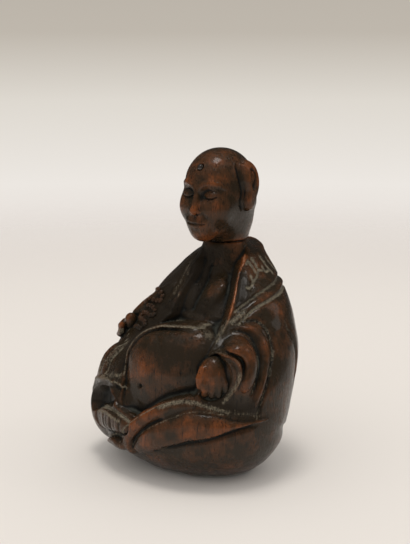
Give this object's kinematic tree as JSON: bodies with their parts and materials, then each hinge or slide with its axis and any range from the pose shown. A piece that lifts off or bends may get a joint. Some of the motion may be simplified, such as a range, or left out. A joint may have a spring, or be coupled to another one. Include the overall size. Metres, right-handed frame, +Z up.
{
  "type": "carved wooden seated monk statue",
  "caption": "Small carved wooden statue of a seated, bald monk in an open robe, with a separate head that turns on a dowel, pegged hands and foot, and a dot set in the forehead.",
  "frame": {"origin": "centre of the flat face that the statue stands on", "axes": "+Z up, the figure faces -Y, and its own left side is +X"},
  "size_m": [0.0332, 0.0307, 0.05],
  "materials": {
    "body_wood": "dark patina, satin, red-brown where worn, pale dust in the cuts",
    "head_wood": "worn satin patina with pale dust in the cuts",
    "peg_wood": "bare turned wood",
    "hand_wood": "worn red-brown satin patina",
    "foot_wood": "dusty satin patina",
    "inlay": "near-black, polished"
  },
  "bodies": {
    "body": {"robed_body": "body_wood", "left_hand": "hand_wood", "right_hand": "hand_wood", "left_foot": "foot_wood"},
    "head": {"head": "head_wood", "neck_dowel": "peg_wood", "urna_inlay": "inlay"}
  },
  "joints": [
    {"name": "head_turn", "type": "hinge", "parent": "body", "child": "head", "pos_m": [0, 0.00776, 0.0353], "axis": [0, 0, 1], "continuous": true}
  ]
}
